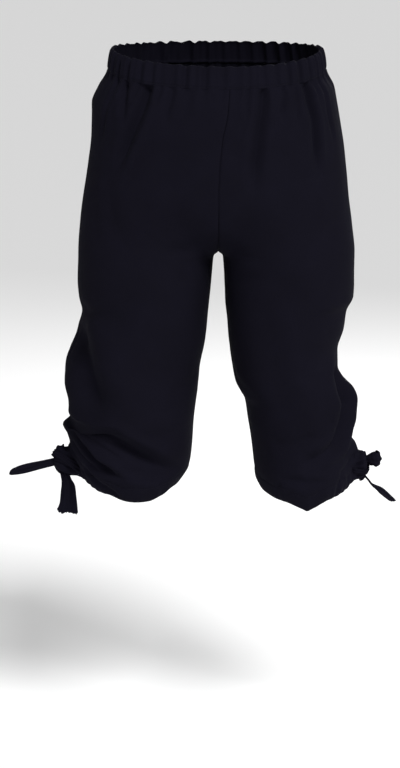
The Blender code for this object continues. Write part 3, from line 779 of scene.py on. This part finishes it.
hemBand = {
    "nearSpan": 0.20,      # finer columns this far either side of the knot
    "nearColumns": 220,
    "farColumns": 100,
    "rows": 16,
    "stitched": 0.07,      # height of the row of stitches over the tie
    "puff": 0.7,
    "puffPower": 0.7,
    "pinch": 0.5,
    "pinchPlace": 0.05,
    "pinchWidth": 0.04,
    "roll": 1.6,
    "rollFrom": 0.85,
    "rollThinner": 0.5,
    "wideShare": 0.45,     # weaker ribs that reach further from the knot
    "wideSpread": 2.2,
    "ripple": 0.5,
    "rippleWaves": ((61, 3.0, 0.0), (23, 0.0, 1.0)),     # round, up and start
}


def makeHemCasing(side):
    g, b = garment, hemBand
    span = b["nearSpan"]
    near = np.linspace(0.5 - span, 0.5 + span, b["nearColumns"] + 1)
    far = np.linspace(0.5 + span, 1.5 - span, b["farColumns"] + 1)
    unrolled = np.concatenate([near[:-1], far[:-1]])
    u = np.mod(unrolled, 1.0)
    share = np.linspace(0, 1, b["rows"])
    level = g["hemSeam"] + (g["hemEdge"] - g["hemSeam"]) * share
    uGrid, levelGrid = np.meshgrid(u, level)
    h = share[:, None]
    out = facing(wrapped, side, uGrid, levelGrid)
    ribs = hemWave(uGrid, 1.0) + b["wideShare"] * hemWave(uGrid, b["wideSpread"])
    pinch = b["pinch"] * np.exp(-((h - b["pinchPlace"]) / b["pinchWidth"]) ** 2)
    puff = b["puff"] * np.clip(np.sin(math.pi * h), 0, 1) ** b["puffPower"]
    over = np.clip((h - b["rollFrom"]) / (1 - b["rollFrom"]), 0, 1) ** 2
    quick, slow = (np.sin(x * uGrid + y * h + start) for x, y, start in b["rippleWaves"])
    ripple = b["ripple"] * quick * slow
    crease = foldDepth(side, uGrid, levelGrid, casingFolds)
    bulge = ribs - pinch + puff - b["roll"] * over + ripple - crease
    outer = wrapped(side, uGrid, levelGrid) + out * bulge[..., None]
    thickness = g["casingWall"] * (1 - b["rollThinner"] * over)
    inner = outer - out * np.broadcast_to(thickness, ribs.shape)[..., None]
    uv = np.stack([np.broadcast_to(unrolled, uGrid.shape) * g["turn"], levelGrid], axis=-1)
    label = side.capitalize()
    casing = wallMesh("hemCasing" + label, outer, inner, uv, True, casingMaterial)
    return joined(casing, stitchRow("hemStitches" + label, outer, share, b["stitched"]))


def stitchRow(name, outer, share, at):
    # one row of machine stitches round a casing, each a short bar of thread pressed into the cloth
    line = np.stack([np.array([np.interp(at, share, column[:, k]) for column in outer.swapaxes(0, 1)])
                     for k in range(3)], axis=-1)
    line = np.concatenate([line, line[:1]])
    reach = np.concatenate([[0], np.cumsum(np.linalg.norm(np.diff(line, axis=0), axis=1))])
    count = int(reach[-1] / thread["pitch"])
    middle = outer[:, :, :2].mean(axis=(0, 1))
    points, faces = [], []
    corners = ((-0.3, -0.5), (0.7, -0.2), (0.7, 0.2), (-0.3, 0.5))     # out and up, in thicknesses
    for k in range(count):
        along = (k + 0.5) * reach[-1] / count + np.array([-0.5, 0.5]) * thread["long"]
        ends = np.stack([np.interp(along, reach, line[:, axis]) for axis in range(3)], axis=-1)
        away = np.array([*(ends.mean(axis=0)[:2] - middle), 0.0])
        away *= thread["thick"] / np.linalg.norm(away)
        up = np.array([0.0, 0.0, thread["thick"]])
        first = len(points)
        points += [end + out * away + rise * up for end in ends for out, rise in corners]
        faces += [[first + i, first + (i + 1) % 4, first + 4 + (i + 1) % 4, first + 4 + i] for i in range(4)]
        faces += [[first + 3, first + 2, first + 1, first], [first + 4, first + 5, first + 6, first + 7]]
    return finishMesh(name, points, faces, np.zeros((len(points), 2)), threadMaterial)


def dress(piece, node):
    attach(piece, "root")
    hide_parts(node)


for side in sides:
    label = side.capitalize()
    front = makePanel("front" + label, side, 0.0, 0.5)
    back = makePanel("back" + label, side, 1.0, 0.5)
    for piece, node in ((front, "front_" + side), (back, "back_" + side)):
        dress(piece, node)
    hem = makeHemCasing(side)
    dress(hem, "hem_casing_" + side)
    print(side, "leg made")

waist = makeWaistCasing()
dress(waist, "waist_casing")
print("waist casing made")

knots = {
    "right": {
        "level": -625.0,
        "wide": 18.0,        # half-sizes, and how far it stands out
        "tall": 22.0,
        "out": 26.0,
        "pleats": 7,
        # the bunched cloth ends in points: angle round the knot, how far out, height, and narrowness
        "tips": [(1.80, 0.35, 10, 0.20), (1.36, 0.78, 9, 0.24), (2.15, 0.62, 8, 0.18), (0.98, 0.60, 5, 0.20),
                 (2.60, 0.80, 5, 0.20)],
        "foot": 0.5,         # how far its foot stands from the hem
        "wrapAxis": (-0.55, -0.25, -0.80),
        "wrapWide": 11.0,
    },
    "left": {
        "level": -626.0,
        "wide": 17.0,
        "tall": 23.0,
        "out": 12.0,
        "pleats": 7,
        "tips": [(1.75, 0.20, 5, 0.18), (1.35, 0.80, 6, 0.20), (2.15, 0.50, 3, 0.14)],
        "foot": -0.5,
        "wrapAxis": (0.30, -0.30, 0.90),
        "wrapWide": 9.0,
    },
}

# from the foot outwards: shares of the knot's half-size and of the way out
knotProfile = table("reach stand", [
    (0.35, 0.00),
    (0.80, 0.00),
    (1.30, -0.02),
    (1.14, 0.05),
    (1.02, 0.17),
    (0.96, 0.38),
    (0.84, 0.60),
    (0.60, 0.82),
    (0.30, 0.96),
])

knotShape = {
    "rings": 40,
    "points": 132,
    "twist": 0.5,          # how far the pleats turn on the way out, in radians
    "uneven": 0.8,
    "pleatTop": 1.06,
    "pleatDepth": 0.24,
    "small": (0.03, 17, 5),     # finer pleats: size, waves round, and their shift on the way out
    "tipReach": 0.22,      # how much of the way out a point takes up
    "footStand": 0.3,      # the part nearer than this stays on the hem
    "footClear": 2.0,
    "footTop": 1.02,
    "freeFrom": 0.5,       # from here on it no longer follows the hem's curve
}


def seatedCloth(side, u, level):
    return wrapped(side, u, level), facing(wrapped, side, u, level)


def knotCore(side):
    row, shape = knots[side], knotShape
    sign = -1.0 if side == "right" else 1.0
    angle = 2 * math.pi * np.arange(shape["points"]) / shape["points"]
    outwards = np.array([sign, 0.0, 0.0])
    seat = seatedCloth(side, np.array([0.5]), np.array([row["level"]]))[0][0] + outwards * row["foot"]
    last = len(knotProfile["reach"]) - 1
    key = dict(knotProfile, key=np.arange(last + 1.0))
    small, quick, late = shape["small"]
    rings = []
    for t in np.linspace(0, last, shape["rings"]):
        reach = float(lookUp(key, "key", "reach", t))
        stand = float(lookUp(key, "key", "stand", t))
        turn = angle + shape["twist"] * stand
        folds = np.abs(np.sin(row["pleats"] * turn / 2 + shape["uneven"] * np.sin(2 * turn)))
        pleat = shape["pleatTop"] - shape["pleatDepth"] * (1 - folds) ** 2
        pleat = pleat + small * np.sin(quick * angle + late * stand)
        along = row["wide"] * reach * pleat * np.cos(angle)
        up = row["tall"] * reach * pleat * np.sin(angle)
        for at, out, high, narrow in row["tips"]:
            near = ((angle - at) / narrow) ** 2 + ((stand - out) / shape["tipReach"]) ** 2
            up = up + high * np.exp(-near)
        if stand < shape["footStand"]:
            lowest = garment["hemEdge"] - row["level"] + shape["footClear"]
            up = np.clip(up, lowest, row["tall"] * shape["footTop"])
        foot, normal = seatedCloth(side, 0.5 + along / garment["turn"], row["level"] + up)
        onHem = foot + normal * row["foot"]
        free = seat + np.stack([0 * along, along, up], axis=-1)
        share = float(ease(stand / shape["freeFrom"]))
        rings.append(onHem * (1 - share) + free * share + outwards * row["out"] * stand)
    return np.array(rings), seat, seat + outwards * row["out"]


def lumpFaces(rings, points):
    i, j = np.meshgrid(np.arange(rings - 1), np.arange(points), indexing="ij")
    a, b = i * points + j, i * points + (j + 1) % points
    quads = np.stack([a.ravel(), b.ravel(), (b + points).ravel(), (a + points).ravel()], 1).tolist()
    count = rings * points
    caps = [[count, (k + 1) % points, k] for k in range(points)]
    base = (rings - 1) * points
    caps += [[count + 1, base + k, base + (k + 1) % points] for k in range(points)]
    return quads + caps


wrapShape = {
    "rows": 15,
    "columns": 96,
    "wall": 1.6,
    "within": 0.6,         # the bunched cloth this near its middle line holds it out, in widths
    "window": 0.2,         # radians either side that are searched for it
    "smoothings": 6,
    "widthChange": 0.15,
    "round": 5.0,
    "crease": (0.55, 2.5, 0.8),     # size, waves across, and their shift round the knot
    "small": (0.25, 9, 6),
    "cloth": (110.0, 12.0),         # millimetres of it round and across
}


def wrapBand(rings, row):
    # a turn of the tie over the bunched cloth, wherever that reaches to
    shape = wrapShape
    cloud = rings.reshape(-1, 3)
    centre = cloud.mean(axis=0)
    axis = np.array(row["wrapAxis"])
    axis /= np.linalg.norm(axis)
    first = np.cross(axis, (0.0, 1.0, 0.0))
    first /= np.linalg.norm(first)
    second = np.cross(axis, first)
    local = cloud - centre
    local = local[np.abs(local @ axis) < row["wrapWide"] * shape["within"]]
    place = np.arctan2(local @ second, local @ first)
    away = np.hypot(local @ second, local @ first)
    turns = 2 * math.pi * np.arange(shape["columns"]) / shape["columns"]
    radius = []
    for t in turns:
        near = np.abs(np.angle(np.exp(1j * (place - t)))) < shape["window"]
        radius.append(away[near].max() if near.any() else away.mean())
    radius = np.array(radius)
    for _ in range(shape["smoothings"]):
        radius = (np.roll(radius, 1) + radius + np.roll(radius, -1)) / 3
    share = np.linspace(-0.5, 0.5, shape["rows"])[:, None]
    wide = row["wrapWide"] * (1 + shape["widthChange"] * np.sin(2 * turns))
    size, count, drift = shape["crease"]
    crease = size * np.cos(2 * math.pi * count * share + drift * np.sin(turns))
    size, quick, late = shape["small"]
    crease = crease + size * np.sin(quick * turns + late * share)
    high = radius + shape["wall"] - shape["round"] * share ** 2 + crease
    grids = []
    for inset in (0.0, shape["wall"]):
        grids.append(centre + axis * (share * wide)[..., None]
                     + first * ((high - inset) * np.cos(turns))[..., None]
                     + second * ((high - inset) * np.sin(turns))[..., None])
    return grids


def makeKnot(side):
    rings, first, last = knotCore(side)
    points = np.concatenate([rings.reshape(-1, 3), [first], [last]])
    faces = lumpFaces(*rings.shape[:2])
    if side == "left":      # the rings run the other way
        faces = [face[::-1] for face in faces]
    label = side.capitalize()
    core = finishMesh("tieKnot" + label, points, faces, points[:, 1:], tieMaterial)
    outer, inner = wrapBand(rings, knots[side])
    rows, columns = outer.shape[:2]
    clothRound, clothAcross = wrapShape["cloth"]
    turn = np.arange(columns)[None] / columns * clothRound
    uv = np.stack(np.broadcast_arrays(turn, np.linspace(0, clothAcross, rows)[:, None]), axis=-1)
    band = wallMesh("tieWrap" + label, outer, inner, uv, True, tieMaterial)
    return joined(core, band)


# each tail's middle line and width, and which way its width lies
tails = {
    "tie_tail_right_out": {
        "rows": table("x y z width ax ay az", [
            (-253.2, -2, -620, 13, 0.15, 0.0, 1.0),
            (-275, -3, -625, 15, 0.2, -0.1, 1.0),
            (-296, -5, -629.5, 16, 0.25, -0.1, 1.0),
            (-318, -8, -634, 13, 0.35, -0.1, 1.0),
        ]),
        # place across, depth and width
        "creases": [(0.18, 0.7, 0.07), (0.55, 1.1, 0.06), (0.82, 0.8, 0.05)],
        # how far the cut end reaches at each place across it
        "end": [(0.0, -4.0), (0.12, -1.0), (0.35, 1.0), (0.65, 0.5), (0.88, -1.5), (1.0, -5.0)],
        "inside": 12.0,      # how far it starts inside the knot
        "fray": 0.5,
        "flat": (0.014, 0.068),
        "knot": None,
    },
    "tie_tail_right_down": {
        "rows": table("x y z width ax ay az", [
            (-233, -8, -641.5, 13, 1.0, 0.2, 0.0),
            (-229, -8, -658, 22, 1.0, 0.2, 0.0),
            (-229, -8, -679, 26, 1.0, 0.1, 0.0),
            (-231, -8, -698, 33, 1.0, 0.0, -0.06),
        ]),
        "creases": [(0.16, 2.2, 0.07), (0.42, 1.4, 0.06), (0.70, 2.6, 0.08)],
        "end": [(0.0, -5.0), (0.06, -1.0), (0.3, 2.5), (0.45, 0.0), (0.75, 1.0), (0.9, 2.0), (1.0, 0.0)],
        "inside": 14.0,
        "fray": 1.2,
        "flat": (0.030, 0.060),
        "knot": "right",     # the knot that its sheet belongs with
    },
    "tie_tail_left_down": {
        "rows": table("x y z width ax ay az", [
            (230, 0, -645.0, 12, -0.1, 1.0, 0.0),
            (239, -2, -655, 15, 0.0, 1.0, 0.05),
            (253, -5, -665, 19, 0.2, 1.0, 0.25),
            (271, -8, -680, 16, 0.25, 1.0, 0.35),
        ]),
        "creases": [(0.25, 1.2, 0.08), (0.62, 1.5, 0.07)],
        "end": [(0.0, -7.0), (0.4, -2.0), (0.8, 2.5), (1.0, 0.0)],
        "inside": 12.0,
        "fray": 0.6,
        "flat": (0.017, 0.055),
        "knot": "left",
    },
}

tailShape = {
    "rows": 64,
    "columns": 28,
    "wall": 1.1,
    "cloth": 70.0,         # millimetres of it along the tail
    "rooted": 0.12,        # share of the length that slides into the knot
    "rootedPower": 1.5,
    "creaseDrift": 0.03,         # how far a crease wanders, with its waves
    "creaseWaves": (5, 9),
    "creaseFade": 0.35,          # how much shallower it is at the loose end
    "curl": (0.6, 1.5, 1.2),     # size, and waves across and along
    "frayWaves": (97, 41),
    "endFrom": 0.75,             # the cut end's shape begins this far along
}


def makeTail(node):
    tail, shape = tails[node], tailShape
    keys = np.arange(float(len(tail["rows"]["x"])))
    lines = dict(tail["rows"], key=keys)
    v = np.linspace(0, 1, shape["columns"] + 1)
    ends = table("v reach", tail["end"])
    t = np.linspace(0, keys[-1], shape["rows"])
    middle = np.stack([lookUp(lines, "key", k, t) for k in "xyz"], axis=-1)
    across = np.stack([lookUp(lines, "key", k, t) for k in ("ax", "ay", "az")], axis=-1)
    across /= np.linalg.norm(across, axis=-1, keepdims=True)
    along = np.gradient(middle, axis=0)
    along /= np.linalg.norm(along, axis=-1, keepdims=True)
    out = np.cross(along, across)
    width = lookUp(lines, "key", "width", t)
    share = (t / keys[-1])[:, None]
    middle -= along[:1] * tail["inside"] * np.clip(1 - share / shape["rooted"], 0, 1) ** shape["rootedPower"]
    crease = np.zeros((len(t), len(v)))
    down, over = shape["creaseWaves"]
    for at, deep, narrow in tail["creases"]:
        drift = at + shape["creaseDrift"] * np.sin(down * share + over * at)
        crease -= deep * np.exp(-(((v[None] - drift) / narrow) ** 2)) * (1 - shape["creaseFade"] * share)
    size, over, down = shape["curl"]
    crease += size * np.sin(2 * math.pi * (over * v[None] + down * share))
    # the loose end is cut as its table says, with threads pulled out
    quick, slow = shape["frayWaves"]
    reach = lookUp(ends, "v", "reach", v) + tail["fray"] * np.sin(v * quick) * np.sin(v * slow + 1)
    late = np.clip((share - shape["endFrom"]) / (1 - shape["endFrom"]), 0, 1) ** 2
    outer = (middle[:, None] + across[:, None] * (width[:, None] * (v - 0.5))[..., None]
             + out[:, None] * crease[..., None] + along[:, None] * (late * reach[None])[..., None])
    inner = outer - out[:, None] * shape["wall"]
    uv = np.stack(np.broadcast_arrays(width[:, None] * v[None], share * shape["cloth"]), axis=-1)
    words = node.split("_")
    name = "tieTail" + words[2].capitalize() + words[3].capitalize()
    return wallMesh(name, outer, inner, uv, False, tieMaterial)


loopShape = {
    "centre": (240.8, 0.0, -615.0),
    "reach": 10.5,
    "depth": 8.0,
    "height": 24.0,
    "points": 72,
    "rows": 22,
    "wall": 1.2,
    "cloth": 9.0,          # millimetres of it in each radian
    "footWidth": 0.75,     # the part beside the knot, in radians
    "footIn": 9.0,         # it runs into the knot and sinks a little there
    "footDown": 2.0,
    "footLower": 0.55,
    "footFlatter": 0.45,
    "full": 0.92,          # share of the height away from the foot
    "bulge": 1.75,         # rounds it off above and below
    "thinnest": 0.05,
    "pleats": (0.07, 2.4, 1.3),     # size, waves across, and their shift round the loop
    "small": (0.03, 11, 7),
    "wavy": 0.05,          # makes the height and the lie uneven
    "tilt": 1.5,
}


def makeLoop():
    # a small bow: a strip that leaves the knot, turns over and comes back, drawn in at its foot
    s = loopShape
    angle = 2 * math.pi * np.arange(s["points"]) / s["points"]
    share = np.linspace(-0.5, 0.5, s["rows"])[:, None]
    foot = np.exp(-((np.angle(np.exp(1j * (angle - math.pi))) / s["footWidth"]) ** 2))
    rounded = np.sqrt(np.clip(1 - (s["bulge"] * share) ** 2, s["thinnest"], 1))
    size, count, drift = s["pleats"]
    rounded = rounded + size * np.cos(2 * math.pi * count * share + drift * np.sin(angle))
    size, quick, late = s["small"]
    rounded = rounded + size * np.cos(quick * angle + late * share)
    tall = s["height"] * (s["full"] - s["footLower"] * foot) * (1 + s["wavy"] * np.sin(3 * angle))
    flatter = 1 - s["footFlatter"] * foot
    grids = []
    for inset in (0.0, s["wall"]):
        x = s["centre"][0] + (s["reach"] * rounded - inset) * np.cos(angle) - s["footIn"] * foot
        y = s["centre"][1] + (s["depth"] * rounded * flatter - inset) * np.sin(angle)
        z = s["centre"][2] + tall * share + s["tilt"] * np.sin(2 * angle) - s["footDown"] * foot
        grids.append(np.stack([x, y, z], axis=-1))
    uv = np.stack(np.broadcast_arrays(angle[None] * s["cloth"], share * s["height"]), axis=-1)
    return wallMesh("tieLoopLeft", grids[0], grids[1], uv, True, tieMaterial)


knotPieces = {}
for side in sides:
    knotPieces[side] = makeKnot(side)
    dress(knotPieces[side], "tie_knot_" + side)

for node, row in tails.items():
    tail = makeTail(node)
    dress(tail, node)

loop = makeLoop()
dress(loop, "tie_loop_left")
print("ties made")

studio = {
    "floorHeight": -1.05,      # a waist is worn about 1.05 m above the floor
    "floorRadius": 400.0,
    "floorColour": "#FAFAFA",
    "floorRoughness": 0.9,
    "aim": (0, 0, -0.35),
    "worldStrength": 0.12,     # low, so that the folds keep their shade
    "cameraPlace": (-0.027, -4.0, 0.25),
    "cameraTilt": 10.6,
    "lens": 125.0,
    "sensor": 36.0,
}


def makeFloor():
    mesh = bpy.data.meshes.new("floor")
    r, z = studio["floorRadius"], studio["floorHeight"]
    mesh.from_pydata([(-r, -r, z), (r, -r, z), (r, r, z), (-r, r, z)], [], [(0, 1, 2, 3)])
    floor = bpy.data.objects.new("floor", mesh)
    bpy.context.scene.collection.objects.link(floor)
    looks = {"Base Color": linearColour(studio["floorColour"]), "Roughness": studio["floorRoughness"]}
    mesh.materials.append(newMaterial("paleStudioFloor", looks)[0])


def addLamp(name, place, size, power):
    lamp = bpy.data.objects.new(name, bpy.data.lights.new(name, "AREA"))
    lamp.data.size = size
    lamp.data.energy = power
    lamp.location = place
    lamp.rotation_euler = (Vector(studio["aim"]) - Vector(place)).to_track_quat("-Z", "Y").to_euler()
    bpy.context.scene.collection.objects.link(lamp)


def addSun(name, azimuth, elevation, softness, strength):
    sun = bpy.data.objects.new(name, bpy.data.lights.new(name, "SUN"))
    sun.data.angle = math.radians(softness)
    sun.data.energy = strength
    a, e = math.radians(azimuth), math.radians(elevation)
    towards = Vector((math.sin(a) * math.cos(e), -math.cos(a) * math.cos(e), math.sin(e)))
    sun.rotation_euler = towards.to_track_quat("Z", "Y").to_euler()
    bpy.context.scene.collection.objects.link(sun)


makeFloor()
addSun("keyLight", azimuth=24, elevation=44, softness=22, strength=2.8)
addLamp("fillLamp", place=(-2.6, -2.2, 0.6), size=1.6, power=20)
addLamp("sideLamp", place=(3.0, -0.6, 0.3), size=1.4, power=18)
addLamp("rimLamp", place=(0.9, 2.6, 1.6), size=1.6, power=60)

world = bpy.data.worlds.new("studioWorld")
bpy.context.scene.world = world
world.use_nodes = True
backdrop = world.node_tree.nodes["Background"]
backdrop.inputs["Color"].default_value = (1.0, 1.0, 1.0, 1.0)
backdrop.inputs["Strength"].default_value = studio["worldStrength"]

bpy.context.scene.view_settings.view_transform = "Standard"   # keeps the black as deep as it is lit

camera = bpy.data.objects.new("camera", bpy.data.cameras.new("camera"))
camera.data.sensor_fit = "VERTICAL"
camera.data.sensor_height = studio["sensor"]
camera.data.lens = studio["lens"]
camera.location = studio["cameraPlace"]
camera.rotation_euler = Euler((math.radians(90 - studio["cameraTilt"]), 0, 0))
bpy.context.scene.collection.objects.link(camera)
bpy.context.scene.camera = camera
print("studio made")
